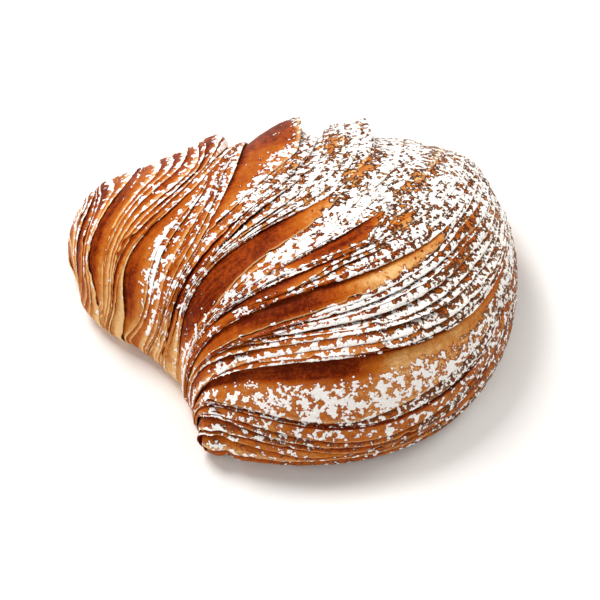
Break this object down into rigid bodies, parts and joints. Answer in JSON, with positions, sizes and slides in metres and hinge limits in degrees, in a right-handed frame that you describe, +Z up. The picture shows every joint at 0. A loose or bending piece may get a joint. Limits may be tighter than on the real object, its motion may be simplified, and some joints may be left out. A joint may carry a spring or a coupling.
{
  "type": "sfogliatella pastry",
  "caption": "Shell-shaped flaky pastry: thin plies fan out from a pinched corner in bundles with open folds between them, over a flat sole. Dusted with icing sugar.",
  "frame": {"origin": "middle of the bounding box, on the flat sole", "axes": "+X along the longest side, from the tip lobe to the wide end; +Z up; -Y towards the mouth, the wide front the plies fan down to"},
  "size_m": [0.1134, 0.0918, 0.046],
  "materials": {
    "baked_dough": "golden brown baked dough in thin plies, dry with a slight gloss, dusted with icing sugar"
  },
  "bodies": {
    "root": {"pastry_shell": "baked_dough"}
  },
  "joints": []
}
